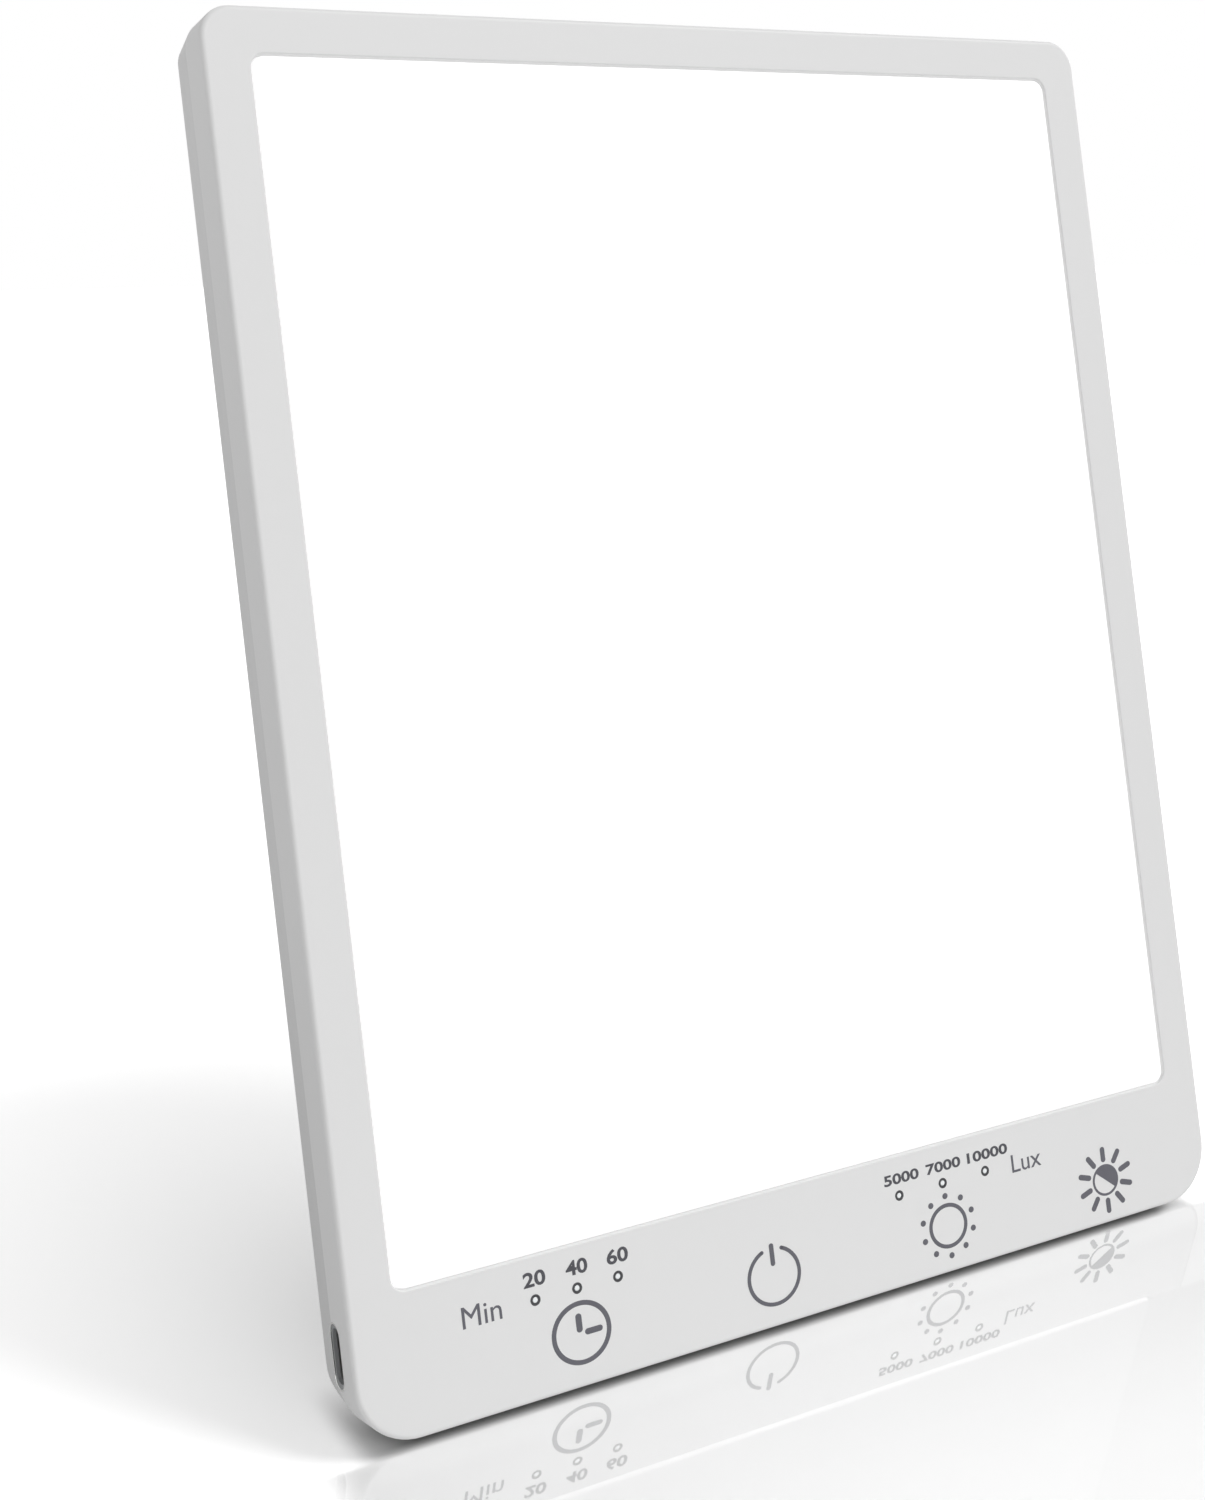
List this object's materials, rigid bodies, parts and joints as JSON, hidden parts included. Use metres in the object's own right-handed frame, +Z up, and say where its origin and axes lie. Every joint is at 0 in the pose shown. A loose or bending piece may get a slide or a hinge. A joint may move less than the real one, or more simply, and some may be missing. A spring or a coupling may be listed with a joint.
{
  "type": "light therapy lamp",
  "caption": "Slim tablet-shaped light therapy lamp with an edge-lit opal window, a touch control strip with indicator lights and a folding kickstand.",
  "frame": {"origin": "on the floor, under the middle of the standing lamp's box", "axes": "+Z up, +X to the right as seen by the person in front of the light, +Y to the back, away from that person"},
  "size_m": [0.181, 0.0698, 0.2265],
  "materials": {
    "case": "fine satin moulded",
    "diffuser": "opal, lit from behind",
    "clear_acrylic": "polished clear",
    "reflector_film": "white film",
    "aluminium": "mill finish sheet",
    "steel": "zinc plated",
    "socket_metal": "tin plated",
    "circuit_board": "solder mask",
    "black_resin": "moulded resin",
    "led_tape": "white tape and packages",
    "rubber": "matt",
    "cable_sheath": "matt sheath",
    "ink": "screen printed"
  },
  "bodies": {
    "panel": {"front_bezel": "case", "rear_cover": "case", "diffuser_panel": "diffuser", "light_guide_plate": "clear_acrylic", "reflector_sheet": "reflector_film", "backplate": "aluminium", "led_strip_left": "led_tape", "led_strip_right": "led_tape", "led_wire_left": "cable_sheath", "led_wire_right": "cable_sheath", "led_plug_left": "led_tape", "led_plug_right": "led_tape", "control_board": "circuit_board", "controller_chip": "black_resin", "driver_chip": "black_resin", "driver_inductor": "black_resin", "driver_capacitor": "socket_metal", "touch_spring_timer": "steel", "touch_spring_power": "steel", "touch_spring_brightness": "steel", "touch_spring_colour": "steel", "light_pipe_timer": "clear_acrylic", "light_pipe_lux": "clear_acrylic", "timer_led_20": "led_tape", "timer_led_40": "led_tape", "timer_led_60": "led_tape", "lux_led_5000": "led_tape", "lux_led_7000": "led_tape", "lux_led_10000": "led_tape", "usb_socket_shell": "socket_metal", "usb_socket_tongue": "black_resin", "board_screw_left": "steel", "board_screw_middle": "steel", "board_screw_right": "steel", "case_screw_1": "steel", "case_screw_2": "steel", "case_screw_3": "steel", "case_screw_4": "steel", "bottom_foot_left": "rubber", "bottom_foot_right": "rubber", "hinge_bracket_left": "steel", "hinge_bracket_right": "steel", "hinge_pin_left": "steel", "hinge_pin_right": "steel", "hinge_washer_left": "steel", "hinge_washer_right": "steel", "hinge_screw_1": "steel", "hinge_screw_2": "steel", "hinge_screw_3": "steel", "hinge_screw_4": "steel"},
    "stand": {"kickstand": "case", "kickstand_foot": "rubber"}
  },
  "joints": [
    {"name": "kickstand_fold", "type": "hinge", "parent": "panel", "child": "stand", "pos_m": [0, 0.009, 0.12419], "axis": [1, 0, 0], "range_deg": [-23.7, 0]}
  ]
}
